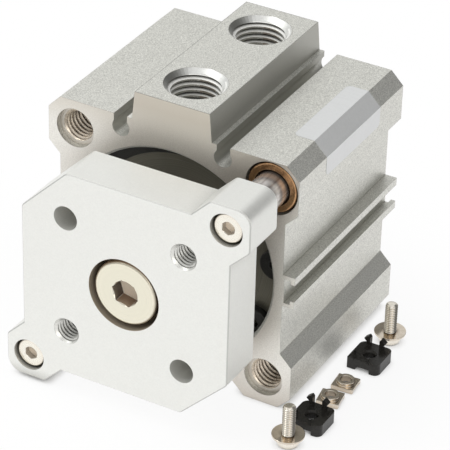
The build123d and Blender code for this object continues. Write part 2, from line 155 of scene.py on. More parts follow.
direct = arithmetic(tree, "MAXIMUM", rays["Is Camera Ray"], rays["Is Transmission Ray"])
backdrop = arithmetic(tree, "MAXIMUM", direct, mirrored)
tint = shade_between(tree, backdrop, walls, (1, 1, 1))
air = add(tree, "ShaderNodeBackground", {"Color": tint, "Strength": 1.0})
add(tree, "ShaderNodeOutputWorld", {"Surface": air.outputs[0]})


def soft_lamp(name, place, aim, side, power, colour):
    """Square softbox at place that faces aim."""
    data = bpy.data.lights.new(name, "AREA")
    data.shape = "SQUARE"
    data.size = side
    data.energy = power
    data.color = colour
    lamp = place_in_scene(name, data)
    lamp.location = place
    lamp.rotation_euler = (Vector(aim) - Vector(place)).to_track_quat("-Z", "Y").to_euler()


soft_lamp("overhead_softbox", place=(-0.55, -0.25, 0.95), aim=(0, -0.03, 0),
          side=0.9, power=5.2, colour=(0.99, 1.0, 0.985))
soft_lamp("front_softbox", place=(0.80, -0.90, 0.35), aim=(0, -0.05, 0),
          side=0.8, power=3.0, colour=(1.0, 0.985, 0.94))

# The camera stands in front, to the right and above, and looks through a long lens.
camera_place = (0.247701, -0.479352, 0.320008)
bearing = 0.49890
elevation = 0.56240
tilt = 0.02890
lens = bpy.data.cameras.new("view")
lens.sensor_width = 36.0
lens.lens = 208.807
lens.clip_start = 0.05
camera = place_in_scene("view", lens)
camera.matrix_world = (
    Matrix.Translation(camera_place)
    @ Matrix.Rotation(bearing, 4, "Z")
    @ Matrix.Rotation(math.pi / 2 - elevation, 4, "X")
    @ Matrix.Rotation(tilt, 4, "Z"))
bpy.context.scene.camera = camera
bpy.context.scene.view_settings.view_transform = "Standard"

# ---------------------------------------------------------------- cylinder body
# Extruded aluminium square tube with corner bosses, a port block on top and a slotted switch
# rail at each side.  It is cut to length, machined on both ends and hard anodised clear, which
# leaves a matt, slightly grainy silver skin with faint die lines along its length.
body_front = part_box("tube_body")[0][1] / mm
block_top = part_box("tube_body")[1][2] / mm
crest_drop = 0.05
port_places = (("front", -40.0), ("rear", -10.5))
tap_offset = 25.0
guide_offset = 25.25
bush_seat_radius = 6.42


def new_group(name, inputs, outputs):
    """Shader node group with its inputs as {name: default}, and the links that they give."""
    group = bpy.data.node_groups.new(name, "ShaderNodeTree")
    for label, value in inputs.items():
        kind = "NodeSocketVector" if isinstance(value, tuple) else "NodeSocketFloat"
        socket = group.interface.new_socket(label, in_out="INPUT", socket_type=kind)
        socket.default_value = value
    for label in outputs:
        group.interface.new_socket(label, in_out="OUTPUT", socket_type="NodeSocketFloat")
    return group, add(group, "NodeGroupInput").outputs


def use(tree, group, **values):
    """Place a shader group in a material with its own values; gives its outputs."""
    sockets = {label.replace("_", " "): value for label, value in values.items()}
    return add(tree, "ShaderNodeGroup", sockets, node_tree=group).outputs


def blend_values(tree, amount, low, high):
    """Value that goes from low to high with amount; all are links."""
    return add(tree, "ShaderNodeMix", {"Factor": amount, "A": low, "B": high}).outputs["Result"]


def object_place(tree):
    """X, Y and Z of a point, in the object's own metres."""
    place = add(tree, "ShaderNodeTexCoord").outputs["Object"]
    return add(tree, "ShaderNodeSeparateXYZ", {0: place}).outputs


def facing(tree):
    """X, Y and Z of the way that a face looks."""
    way = add(tree, "ShaderNodeNewGeometry").outputs["True Normal"]
    return add(tree, "ShaderNodeSeparateXYZ", {0: way}).outputs


def distance(tree, a, b):
    """How far a point is from an axis that it lies a and b away from, at right angles."""
    squares = [arithmetic(tree, "MULTIPLY", side, side) for side in (a, b)]
    return arithmetic(tree, "SQRT", arithmetic(tree, "ADD", *squares))


def ripple(tree, along, scale, detail):
    """Uneven ripple along one value."""
    sockets = {"W": along, "Scale": scale, "Detail": detail}
    return add(tree, "ShaderNodeTexNoise", sockets, noise_dimensions="1D").outputs["Fac"]


# Grain of the metal: a fine speckle with longer drawn marks over it.  On the rods the drawn
# marks paint reflection streaks.
grain_and_streak_group, given = new_group(
    "metal_grain_and_streaks", {"Speckle Scale": 2600.0, "Mark Scale": (900.0, 40.0, 900.0), "Marks": 0.5},
    ("Tone", "Height"))
place = add(grain_and_streak_group, "ShaderNodeTexCoord").outputs["Object"]
speckle = add(
    grain_and_streak_group, "ShaderNodeTexNoise",
    {"Vector": place, "Scale": given["Speckle Scale"], "Detail": 2.0, "Roughness": 0.6})
stretched = add(
    grain_and_streak_group, "ShaderNodeVectorMath", {0: place, 1: given["Mark Scale"]}, operation="MULTIPLY")
drawn = add(
    grain_and_streak_group, "ShaderNodeTexNoise", {"Vector": stretched.outputs[0], "Scale": 1.0, "Detail": 3.0})
both = blend_values(grain_and_streak_group, given["Marks"], speckle.outputs["Fac"], drawn.outputs["Fac"])
add(grain_and_streak_group, "NodeGroupOutput", {
    "Tone": remap(grain_and_streak_group, both, start=0.30, end=0.70), "Height": both})

# Painted edge lines: 1 on a sharp outer or inner edge higher than Above, 0 on the flats.  The
# colour laid on them is a painted highlight on some parts and a painted dark line on others.
painted_edge_group, given = new_group("painted_edge_line", {"Width": 0.3 * mm, "Above": -1.0}, ("Edge",))
rounded = add(painted_edge_group, "ShaderNodeBevel", {"Radius": given["Width"]}, samples=6)
flat = add(painted_edge_group, "ShaderNodeNewGeometry").outputs["Normal"]
agree = add(
    painted_edge_group, "ShaderNodeVectorMath", {0: rounded.outputs["Normal"], 1: flat},
    operation="DOT_PRODUCT")
edge = remap(painted_edge_group, agree.outputs["Value"], start=0.985, end=0.80)
high = arithmetic(painted_edge_group, "GREATER_THAN", object_place(painted_edge_group)["Z"], given["Above"])
add(painted_edge_group, "NodeGroupOutput", {"Edge": arithmetic(painted_edge_group, "MULTIPLY", edge, high)})

# Painted hollow shade: 1 in narrow slots and hole bottoms and close before other parts, so
# that the colour laid on it paints the shade that falls there.
hollow_shade_group, given = new_group("painted_hollow_shade", {"Reach": 4.0 * mm, "Gain": 1.0}, ("Depth",))
shelter = add(hollow_shade_group, "ShaderNodeAmbientOcclusion", {"Distance": given["Reach"]}, samples=6)
covered = arithmetic(hollow_shade_group, "SUBTRACT", 1.0, shelter.outputs["AO"])
gained = arithmetic(hollow_shade_group, "MULTIPLY", covered, given["Gain"])
add(hollow_shade_group, "NodeGroupOutput", {"Depth": arithmetic(hollow_shade_group, "MINIMUM", gained, 1.0)})

# Cut ends: End is 1 on faces that lie across the body's length, with Arcs left by the milling
# cutter.  Slope is 1 on the chamfers round them, and Rise goes from 0 at the corner bosses to
# 1 at the top of the port block; these two carry painted shade.
cut_group, given = new_group(
    "cut_end", {"Cutter Radius": 0.16, "Feed": 5200.0}, ("End", "Slope", "Arcs", "Rise"))
square_to_length = 0.95
chamfered = 0.5
boss_height = 25 * mm
block_height = 36 * mm
across = arithmetic(cut_group, "ABSOLUTE", facing(cut_group)["Y"])
end_face = arithmetic(cut_group, "GREATER_THAN", across, square_to_length)
tilted = arithmetic(cut_group, "GREATER_THAN", across, chamfered)
place = object_place(cut_group)
shifted = arithmetic(cut_group, "SUBTRACT", place["X"], given["Cutter Radius"])
swing = arithmetic(
    cut_group, "MULTIPLY", distance(cut_group, shifted, place["Z"]), given["Feed"])
add(cut_group, "NodeGroupOutput", {
    "End": end_face,
    "Slope": arithmetic(cut_group, "SUBTRACT", tilted, end_face),
    "Arcs": ripple(cut_group, swing, scale=1.0, detail=3.0),
    "Rise": remap(cut_group, place["Z"], start=boss_height, end=block_height)})

# Dark seats: 1 inside a round seat whose axis runs along Y, all in metres.
seat_group, given = new_group(
    "dark_seat", {"Seat X": 0.0, "Seat Z": 0.0, "Seat Radius": 1.0 * mm}, ("Seat",))
place = object_place(seat_group)
aside = arithmetic(seat_group, "SUBTRACT", place["X"], given["Seat X"])
above = arithmetic(seat_group, "SUBTRACT", place["Z"], given["Seat Z"])
off_axis = distance(seat_group, aside, above)
add(seat_group, "NodeGroupOutput", {
    "Seat": arithmetic(seat_group, "LESS_THAN", off_axis, given["Seat Radius"])})

# Inner walls: 1 on upright walls that look along +X and stand within Half Width of the middle.
wall_group, given = new_group("inner_wall", {"Half Width": 20.0 * mm}, ("Wall",))
sideways = remap(wall_group, facing(wall_group)["X"], start=0.45, end=0.72)
off_middle = arithmetic(wall_group, "ABSOLUTE", object_place(wall_group)["X"])
within = arithmetic(wall_group, "LESS_THAN", off_middle, given["Half Width"])
add(wall_group, "NodeGroupOutput", {"Wall": arithmetic(wall_group, "MULTIPLY", sideways, within)})


def shade_skin(tree, colour, roughness, height, relief, own_sockets):
    """End a material in its shader; relief is the depth of height, own_sockets the rest."""
    bump = add(tree, "ShaderNodeBump", {"Height": height, "Distance": relief})
    look = {"Base Color": colour, "Roughness": roughness, "Normal": bump.outputs["Normal"]}
    skin = add(tree, "ShaderNodeBsdfPrincipled", {**look, **own_sockets})
    add(tree, "ShaderNodeOutputMaterial", {"Surface": skin.outputs[0]})


def metal_finish(name, light, dark, metallic, rough, speckle_scale, mark_scale, marks, relief,
                 end_colours=None, end_top_shade=None, end_shade=None, wall_shade=None,
                 hollow_shade_colour=None, deep_reach=None, deep_gain=None,
                 painted_edge_colour=None, edge_width=None, crest_shade_colour=None, crest_height=None,
                 chamfer_shade=None, seats=(), seat_tone=None):
    """Metal whose grain goes from a dark to a light tone, with other tones laid over it.

    rough is (smoothest, roughest), and relief is the depth of the grain.  end_colours are the
    darkest and lightest tone of a cut end, end_top_shade is painted shade that darkens it towards the
    top, and end_shade painted shade where another part stands close before it.  wall_shade is
    painted shade on the upright walls between the corner bosses, and hollow_shade_colour painted shade
    in places sheltered within deep_reach.  painted_edge_colour paints a line edge_width wide along the
    edges, a highlight when pale and shade when dark, and crest_shade_colour a painted dark line on the
    edges that lie higher than crest_height.  chamfer_shade is painted shade on the chamfers.
    seats are (x, z, radius), and inside them the colour goes to seat_tone.
    """
    material, tree = blank_material(name)
    grain = use(tree, grain_and_streak_group, Speckle_Scale=speckle_scale, Mark_Scale=mark_scale, Marks=marks)
    colour = shade_between(tree, grain["Tone"], dark, light)
    height = grain["Height"]
    if end_colours:
        cut = use(tree, cut_group)
        # Painted shade on the cut end: darker towards the top, and darker where another part stands
        # close before it.
        near = use(tree, hollow_shade_group, Reach=11.0 * mm, Gain=1.05)
        end = shade_between(tree, grain["Tone"], *end_colours)
        end = shade_between(tree, cut["Rise"], end, end_top_shade)
        end = shade_between(tree, near["Depth"], end, end_shade)
        colour = shade_between(tree, cut["End"], colour, end)
        height = blend_values(tree, cut["End"], height, cut["Arcs"])
    if wall_shade:
        colour = shade_between(tree, use(tree, wall_group)["Wall"], colour, wall_shade)
    if hollow_shade_colour:
        deep = use(tree, hollow_shade_group, Reach=deep_reach, Gain=deep_gain)
        colour = shade_between(tree, deep["Depth"], colour, hollow_shade_colour)
    if painted_edge_colour:
        edge_mask = use(tree, painted_edge_group, Width=edge_width)
        colour = shade_between(tree, edge_mask["Edge"], colour, painted_edge_colour)
    # A painted dark line along the edges that lie higher than crest_height.
    if crest_shade_colour:
        broken = use(tree, painted_edge_group, Width=0.45 * mm, Above=crest_height)
        colour = shade_between(tree, broken["Edge"], colour, crest_shade_colour)
    # Painted shade on the chamfers.
    if chamfer_shade:
        colour = shade_between(tree, use(tree, cut_group)["Slope"], colour, chamfer_shade)
    for x, z, radius in seats:
        seat_mask = use(tree, seat_group, Seat_X=x, Seat_Z=z, Seat_Radius=radius)
        colour = shade_between(tree, seat_mask["Seat"], colour, seat_tone)
    roughness = remap(tree, grain["Tone"], low=rough[0], high=rough[1])
    shade_skin(tree, colour, roughness, height, relief, {"Metallic": metallic})
    return material


# Smoothing for machined shapes: the stored normals go, and edges sharper than 30 degrees stay crisp.
smooth_group = bpy.data.node_groups.new("machined_smoothing", "GeometryNodeTree")
for end in ("INPUT", "OUTPUT"):
    smooth_group.interface.new_socket("Geometry", in_out=end, socket_type="NodeSocketGeometry")
given = add(smooth_group, "NodeGroupInput").outputs
forget = add(
    smooth_group, "GeometryNodeRemoveAttribute", {"Geometry": given[0], "Name": "custom_normal"})
smooth = add(smooth_group, "GeometryNodeSetShadeSmooth", {"Geometry": forget.outputs[0]})
turn = add(smooth_group, "GeometryNodeInputMeshEdgeAngle").outputs["Unsigned Angle"]
sharp = add(
    smooth_group, "FunctionNodeCompare", {0: turn, 1: math.radians(30)}, operation="GREATER_THAN")
crisp = add(
    smooth_group, "GeometryNodeSetShadeSmooth",
    {"Geometry": smooth.outputs[0], "Selection": sharp.outputs[0], "Shade Smooth": False},
    domain="EDGE")
add(smooth_group, "NodeGroupOutput", {0: crisp.outputs[0]})


def machine(piece, edge_break, cutters):
    """Break the sharp edges of a piece, cut its threads and smooth its round faces."""
    piece.modifiers.new("joined_faces", "WELD").merge_threshold = 0.001 * mm
    if edge_break:
        whole = piece.modifiers.new("whole_faces", "DECIMATE")
        whole.decimate_type = "DISSOLVE"
        whole.angle_limit = math.radians(0.5)
        broken = piece.modifiers.new("edge_break", "BEVEL")
        broken.width = edge_break
        broken.segments = 1
        broken.limit_method = "ANGLE"
        broken.angle_limit = math.radians(62)
    for cutter in cutters:
        cut = piece.modifiers.new("cut_" + cutter.name, "BOOLEAN")
        cut.operation = "DIFFERENCE"
        cut.solver = "EXACT"
        cut.object = cutter
        cut.material_mode = "TRANSFER"
    piece.modifiers.new("machined_smoothing", "NODES").node_group = smooth_group
    flats = piece.modifiers.new("flat_faces", "WEIGHTED_NORMAL")
    flats.mode = "FACE_AREA"
    flats.weight = 100
    flats.keep_sharp = True


def coat(piece, material):
    """Give a piece its one material."""
    piece.data.materials.clear()
    piece.data.materials.append(material)


def dress(names, material, edge_break=0.0, cutters=()):
    """Coat and machine the solids of these names."""
    for name in names:
        coat(nodes[name], material)
        machine(nodes[name], edge_break, cutters)


def made_object(name, shape):
    """Turn a closed bmesh into an object, with its faces looking outwards."""
    bmesh.ops.recalc_face_normals(shape, faces=shape.faces)
    mesh = bpy.data.meshes.new(name)
    shape.to_mesh(mesh)
    shape.free()
    return place_in_scene(name, mesh)


def helical_bar(name, pitch, length, radius_at, around=48):
    """Closed bar along +Z whose wall follows a right-hand helix.

    radius_at(phase, z) gives the wall's radius; phase runs from 0 to 1 over one pitch.
    """
    bar = bmesh.new()
    rows = 8
    count = round(length / pitch * rows)
    columns = []
    for i in range(around):
        angle = 2 * math.pi * i / around
        column = []
        for j in range(count + 1 + (rows if i == 0 else 0)):
            z = (j / rows + i / around) * pitch
            radius = radius_at((j % rows) / rows, z)
            column.append(bar.verts.new((radius * math.cos(angle), radius * math.sin(angle), z)))
        columns.append(column)
    for i in range(around):
        here = columns[i]
        there = columns[i + 1] if i + 1 < around else columns[0][rows:]
        for j in range(count):
            bar.faces.new((here[j], there[j], there[j + 1], here[j + 1]))
    seam = columns[0]
    lower_rim = [column[0] for column in columns] + seam[rows:0:-1]
    upper_rim = [column[count] for column in columns] + seam[count + rows:count:-1]
    for rim, z in ((lower_rim, 0.0), (upper_rim, (count / rows + 1) * pitch)):
        centre = bar.verts.new((0, 0, z))
        for a, b in zip(rim, rim[1:] + rim[:1]):
            bar.faces.new((centre, a, b))
    return made_object(name, bar)


def thread_cutter(name, material, mouth, direction, minor_d, major_d, pitch, length, entry_d,
                  entry_depth=0.0, taper=0.0, entry_material=None):
    """Hidden tap that cuts an internal thread; direction points out of the hole's mouth.

    It goes length less one pitch deep.  entry_d is the diameter of the countersink, which
    starts at entry_depth and may have its own material, and taper is what the radius gains on
    the way out.
    """
    depth = length - pitch
    tooth_height = (major_d - minor_d) / 2
    clearance = 0.02
    tooth_foot = 0.72  # with its flank, a share of half the pitch
    tooth_flank = 0.62
    hair = 0.001

    def entry_radius(z):
        return entry_d / 2 + min(z / mm - depth + entry_depth, 0)

    def tap_radius(phase, z):
        tooth = min(max((tooth_foot - abs(2 * phase - 1)) / tooth_flank, 0), 1)
        thread = minor_d / 2 + clearance + tooth_height * tooth + taper * (z / mm - depth)
        return max(thread, entry_radius(z)) * mm

    cutter = helical_bar(name, pitch * mm, length * mm, tap_radius)
    out = Vector(direction)
    start = Vector(mouth) * mm - out * depth * mm
    cutter.matrix_world = Matrix.Translation(start) @ out.to_track_quat("Z", "Y").to_matrix().to_4x4()
    cutter.data.materials.append(material)
    if entry_material:
        cutter.data.materials.append(entry_material)
        for face in cutter.data.polygons:
            corners = [cutter.data.vertices[i].co for i in face.vertices]
            face.material_index = int(all(
                math.hypot(co.x, co.y) / mm < entry_radius(co.z) + hair for co in corners))
    cutter.hide_render = True
    cutter.hide_viewport = True
    return cutter


# The skin carries painted dark lines along its edges and the top edges of the port block, and painted
# shade on the walls that look along +X, in its corners, on the cut ends towards the top and behind the
# plate, and in the gaps round the guide bush seats.
extrusion_skin = metal_finish(
    "clear_anodised_extrusion",
    light=(0.95, 0.945, 0.895), dark=(0.495, 0.49, 0.455), metallic=0.85, rough=(0.42, 0.54),
    speckle_scale=4300.0, mark_scale=(1400.0, 30.0, 1400.0), marks=0.06, relief=0.014 * mm,
    painted_edge_colour=(0.34, 0.33, 0.30), edge_width=0.15 * mm, wall_shade=(0.46, 0.455, 0.42),
    crest_shade_colour=(0.17, 0.165, 0.15), crest_height=(block_top - crest_drop) * mm,
    hollow_shade_colour=(0.45, 0.44, 0.40), deep_reach=0.4 * mm, deep_gain=0.4,
    end_colours=((0.76, 0.74, 0.69), (1.0, 0.98, 0.925)), end_shade=(0.46, 0.385, 0.32),
    end_top_shade=(0.65, 0.60, 0.525),
    seats=[(side * guide_offset * mm, side * guide_offset * mm, bush_seat_radius * mm)
           for side in (1, -1)],
    seat_tone=(0.07, 0.045, 0.03))

# Cut metal is smoother than the skin, with fine marks of the tool.
tool_marks = dict(
    speckle_scale=3000.0, mark_scale=(600.0, 600.0, 600.0), marks=0.2, relief=0.006 * mm)
# The threads carry painted shade in their grooves, and the countersinks painted shade on the side that
# looks along +X.
cut_thread = metal_finish(
    "fresh_cut_thread",
    light=(1.0, 0.995, 0.97), dark=(0.94, 0.935, 0.91), metallic=0.12, rough=(0.26, 0.38),
    hollow_shade_colour=(0.035, 0.03, 0.022), deep_reach=0.60 * mm, deep_gain=1.7, **tool_marks)
countersink_skin = metal_finish(
    "turned_countersink",
    light=(0.82, 0.82, 0.80), dark=(0.70, 0.70, 0.68), metallic=0.70, rough=(0.30, 0.42),
    wall_shade=(0.26, 0.258, 0.24), **dict(tool_marks, marks=0.3))
oiled_thread = metal_finish(
    "oiled_thread",
    light=(0.93, 0.83, 0.71), dark=(0.74, 0.64, 0.52), metallic=0.60, rough=(0.22, 0.36),
    hollow_shade_colour=(0.07, 0.042, 0.024), deep_reach=0.55 * mm, deep_gain=2.1, **tool_marks)

# NPT 1/4 threads of the two ports, and M8 threads at both ends of the free corners.
pipe_thread = dict(minor_d=11.4, major_d=13.5, pitch=1.41, length=10.6, taper=1 / 32, entry_d=14.64)
bolt_thread = dict(minor_d=6.8, major_d=8.2, pitch=1.25, length=15.0, entry_d=7.8, entry_depth=1.5)
body_cutters = []
for label, y in port_places:
    body_cutters.append(thread_cutter(
        "port_tap_" + label, cut_thread, (0, y, block_top), (0, 0, 1),
        entry_material=countersink_skin, **pipe_thread))
for label, x in (("upper", -tap_offset), ("lower", tap_offset)):
    for end, y, out in (("front", body_front, (0, -1, 0)), ("rear", 0.0, (0, 1, 0))):
        body_cutters.append(thread_cutter(
            "corner_tap_" + end + "_" + label, oiled_thread, (x, y, -x), out, **bolt_thread))
for cutter in body_cutters:
    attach(cutter, "cylinder")
dress(["tube_body"], extrusion_skin, cutters=body_cutters)

# ---------------------------------------------------------------- collar in the bore
# Aluminium collar that closes the bore round the rod, turned and hard anodised to a dark
# olive grey.  Its flange is caught behind the retaining ring.

# Turning marks: Line runs round an axis along Y through the centre, Sweep changes with angle.
turning_group, given = new_group(
    "turning_marks", {"Centre X": 0.0, "Centre Z": 0.0, "Line Scale": 4000.0}, ("Line", "Sweep"))
place = object_place(turning_group)
aside = arithmetic(turning_group, "SUBTRACT", place["X"], given["Centre X"])
above = arithmetic(turning_group, "SUBTRACT", place["Z"], given["Centre Z"])
outward = arithmetic(
    turning_group, "MULTIPLY", distance(turning_group, aside, above), given["Line Scale"])
round_axis = arithmetic(turning_group, "ARCTAN2", above, aside)
add(turning_group, "NodeGroupOutput", {
    "Line": ripple(turning_group, outward, scale=1.0, detail=4.0),
    "Sweep": ripple(turning_group, round_axis, scale=1.3, detail=1.0)})


def turned_finish(name, light, dark, metallic, rough, line_scale, relief, centre=(0.0, 0.0),
                  painted_edge_colour=None, recess_wall_shade=None, recess_floor_light=None, deep_shadow=None,
                  deep_reach=None, deep_gain=None):
    """Lathe-turned metal with concentric lines; the walls and floor of a recess may darken.

    centre is the x and z of the axis.  The darkening is painted shade: recess_wall_shade on the walls
    of a recess and deep_shadow on a recess wall that looks along +X near the middle, while
    recess_floor_light is a painted lit tone on the recess floor.
    """
    material, tree = blank_material(name)
    lines = use(tree, turning_group, Centre_X=centre[0], Centre_Z=centre[1], Line_Scale=line_scale)
    colour = shade_between(tree, remap(tree, lines["Line"], low=-0.35, high=1.35), dark, light)
    if recess_wall_shade:
        deep = use(tree, hollow_shade_group, Reach=deep_reach, Gain=deep_gain)
        metallic = remap(tree, deep["Depth"], low=metallic, high=0.0)
        recess = shade_between(tree, use(tree, wall_group)["Wall"], recess_wall_shade, deep_shadow)
        recess = shade_between(tree, use(tree, cut_group)["End"], recess, recess_floor_light)
        colour = shade_between(tree, deep["Depth"], colour, recess)
    if painted_edge_colour:
        edge_mask = use(tree, painted_edge_group, Width=0.2 * mm)
        colour = shade_between(tree, edge_mask["Edge"], colour, painted_edge_colour)
    roughness = remap(tree, lines["Sweep"], low=rough[0], high=rough[1])
    shade_skin(tree, colour, roughness, lines["Line"], relief, {"Metallic": metallic})
    return material


# The collar's edges carry a painted highlight.
collar_skin = turned_finish(
    "dark_anodised_collar", light=(0.26, 0.25, 0.205), dark=(0.165, 0.155, 0.125),
    metallic=0.6, rough=(0.28, 0.45), line_scale=5200.0, relief=0.01 * mm,
    painted_edge_colour=(0.30, 0.29, 0.26))
dress(["rod_cover"], collar_skin, edge_break=0.1 * mm)

# ---------------------------------------------------------------- retaining ring
# C-ring of spring steel, blanked, hardened and phosphated black.  It is sprung into the
# groove of the bore with pliers that hold its two round lugs.
# The ring's edges carry a painted highlight.
ring_skin = metal_finish(
    "phosphated_spring_steel",
    light=(0.055, 0.055, 0.052), dark=(0.022, 0.022, 0.021), metallic=0.6, rough=(0.28, 0.5),
    speckle_scale=3200.0, mark_scale=(500.0, 500.0, 500.0), marks=0.3, relief=0.01 * mm,
    painted_edge_colour=(0.14, 0.14, 0.13), edge_width=0.2 * mm)
dress(["retaining_ring"], ring_skin, edge_break=0.12 * mm)

# ---------------------------------------------------------------- bushes
# Sintered bronze bushes full of oil, pressed into the body and the collar.  Their faces are
# brown, with a painted highlight round the rim and painted shade in the narrow places.
bronze_skin = metal_finish(
    "oiled_sintered_bronze",
    light=(0.60, 0.36, 0.185), dark=(0.30, 0.16, 0.08), metallic=0.95, rough=(0.16, 0.30),
    speckle_scale=3000.0, mark_scale=(900.0, 900.0, 900.0), marks=0.4, relief=0.02 * mm,
    painted_edge_colour=(0.90, 0.68, 0.44), edge_width=0.55 * mm,
    hollow_shade_colour=(0.03, 0.016, 0.008), deep_reach=0.6 * mm, deep_gain=1.1)
dress(["guide_bush_upper_front", "guide_bush_upper_rear", "guide_bush_lower_front",
       "guide_bush_lower_rear", "rod_bush"], bronze_skin)

# ---------------------------------------------------------------- seals and bumpers
# Seals and a gasket moulded in nitrile rubber and stretched into their grooves, and two bumper
# rings cast in urethane, pressed into seats where the piston stops.  All are inside the body.


def soft_finish(name, light, dark, rough, speckle_scale, relief, shine=0.5):
    """Rubber, urethane or resin with a fine moulded grain."""
    material, tree = blank_material(name)
    grain = use(tree, grain_and_streak_group, Speckle_Scale=speckle_scale,
                Mark_Scale=(300.0, 300.0, 300.0), Marks=0.4)
    colour = shade_between(tree, grain["Tone"], dark, light)
    roughness = remap(tree, grain["Tone"], low=rough[0], high=rough[1])
    shade_skin(tree, colour, roughness, grain["Height"], relief, {"Specular IOR Level": shine})
    return material


rubber_skin = soft_finish(
    "nitrile_rubber", light=(0.030, 0.030, 0.030), dark=(0.014, 0.014, 0.014),
    rough=(0.40, 0.62), speckle_scale=2200.0, relief=0.02 * mm)
urethane_skin = soft_finish(
    "cast_urethane", light=(0.62, 0.47, 0.20), dark=(0.48, 0.35, 0.13),
    rough=(0.30, 0.45), speckle_scale=900.0, relief=0.01 * mm)
dress(["rod_seal", "cover_gasket", "piston_seal"], rubber_skin)
dress(["bumper_front", "bumper_rear"], urethane_skin)

# ---------------------------------------------------------------- piston and magnet
# One-piece piston turned from aluminium and chromated.  A bonded ring magnet sits in its rear
# groove and works the position switches from inside.
piston_skin = turned_finish(
    "chromated_piston", light=(0.68, 0.66, 0.56), dark=(0.52, 0.50, 0.40),
    metallic=0.9, rough=(0.30, 0.45), line_scale=3000.0, relief=0.01 * mm)
magnet_skin = soft_finish(
    "bonded_magnet", light=(0.075, 0.072, 0.070), dark=(0.040, 0.038, 0.037),
    rough=(0.45, 0.60), speckle_scale=2500.0, relief=0.01 * mm)
dress(["piston"], piston_skin)
dress(["piston_magnet"], magnet_skin)

# ---------------------------------------------------------------- rods
# Carbon steel rods, ground, hard chromed and polished.  Painted reflections run along them as
# light and dark streaks, darker on the two guide rods, with a painted highlight on their edges
# and painted shade where they enter their bushes.
for finish, reflection_streak_tone, names in (
        ("hard_chrome_piston_rod", (0.68, 0.66, 0.64), ["piston_rod"]),
        ("hard_chrome_guide_rods", (0.36, 0.32, 0.30), ["guide_rod_upper", "guide_rod_lower"])):
    rod_skin = metal_finish(
        finish,
        light=(0.96, 0.94, 0.92), dark=reflection_streak_tone, metallic=0.68, rough=(0.16, 0.28),
        speckle_scale=2500.0, mark_scale=(1000.0, 20.0, 1000.0), marks=0.99, relief=0.004 * mm,
        hollow_shade_colour=(0.10, 0.08, 0.065), deep_reach=4.0 * mm, deep_gain=1.6,
        painted_edge_colour=(0.95, 0.95, 0.94), edge_width=0.2 * mm)
    dress(names, rod_skin)

# ---------------------------------------------------------------- end plate
# Thick aluminium plate, milled all round and bead blasted before its clear anodising, so it is
# paler and softer than the body.  Two corners are cut back and two have ears for the guide rods,
# and one screw for each rod holds it.
plate_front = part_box("end_plate")[0][1] / mm
plate_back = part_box("end_plate")[1][1] / mm
load_hole_offset = 15.0
screw_seat_radius = 9.02
run_out = 2.0
# The plate carries painted dark lines along its edges, painted shade on its chamfers and in its holes,
# and a darker tone in the seat round the centre screw.
plate_skin = metal_finish(
    "bead_blasted_plate",
    light=(0.90, 0.90, 0.87), dark=(0.84, 0.84, 0.81), metallic=0.60, rough=(0.42, 0.54),
    speckle_scale=3000.0, mark_scale=(700.0, 700.0, 700.0), marks=0.2, relief=0.008 * mm,
    painted_edge_colour=(0.66, 0.66, 0.64), edge_width=0.12 * mm, chamfer_shade=(0.56, 0.56, 0.54),
    hollow_shade_colour=(0.16, 0.145, 0.105), deep_reach=4.0 * mm, deep_gain=1.1,
    seats=[(0.0, 0.0, screw_seat_radius * mm)], seat_tone=(0.50, 0.44, 0.35))
# Painted shade darkens the thread grooves.
plate_thread = metal_finish(
    "dry_cut_thread",
    light=(0.82, 0.82, 0.79), dark=(0.68, 0.675, 0.64), metallic=0.70, rough=(0.26, 0.38),
    hollow_shade_colour=(0.04, 0.034, 0.025), deep_reach=0.35 * mm, deep_gain=2.9, **tool_marks)
plate_cutters = []
for label, offset in (("upper", load_hole_offset), ("lower", -load_hole_offset)):
    plate_cutters.append(thread_cutter(
        "plate_tap_" + label, plate_thread, (offset, plate_front, offset), (0, -1, 0),
        minor_d=5.0, major_d=6.1, pitch=1.0, length=plate_back - plate_front + run_out,
        entry_d=6.62))
for cutter in plate_cutters:
    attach(cutter, "end_plate_and_rods")
dress(["end_plate"], plate_skin, cutters=plate_cutters)

# ---------------------------------------------------------------- plate screws
# Socket screws that hold the plate to its rods, a large low one in the centre and a small one
# in each ear.  They are cold headed, faced on a lathe and plated with bright, warm nickel.
# The hex sockets carry painted shade on their walls, a painted shadow on the wall that looks along +X,
# a painted lit tone on their floors and painted highlights on their edges.
centre_tones = dict(
    light=(0.885, 0.85, 0.71), dark=(0.79, 0.755, 0.62), recess_wall_shade=(0.24, 0.155, 0.095))
ear_tones = dict(
    light=(0.96, 0.94, 0.86), dark=(0.87, 0.85, 0.77), recess_wall_shade=(0.42, 0.37, 0.31))
for name, offset, tones in (
        ("centre_screw", 0.0, centre_tones),
        ("ear_screw_upper", guide_offset, ear_tones),
        ("ear_screw_lower", -guide_offset, ear_tones)):
    nickel_skin = turned_finish(
        "nickel_plate_" + name, centre=(offset * mm, offset * mm), metallic=1.0,
        rough=(0.05, 0.13), line_scale=6000.0, relief=0.003 * mm, painted_edge_colour=(0.96, 0.93, 0.84),
        recess_floor_light=(1.0, 0.86, 0.70), deep_shadow=(0.055, 0.036, 0.024),
        deep_reach=7.0 * mm, deep_gain=1.5, **tones)
    dress([name], nickel_skin)

# ---------------------------------------------------------------- loose switch brackets
# Small blocks moulded in black glass-filled resin, with two upright snap pins each.  They lie
# loose, and in use each one holds a position switch to the rail.
resin_skin = soft_finish(
    "black_moulded_resin", light=(0.032, 0.030, 0.027), dark=(0.014, 0.013, 0.011),
    rough=(0.12, 0.24), speckle_scale=2600.0, relief=0.008 * mm, shine=0.28)
dress(["switch_bracket_front", "switch_bracket_rear"], resin_skin, edge_break=0.12 * mm)

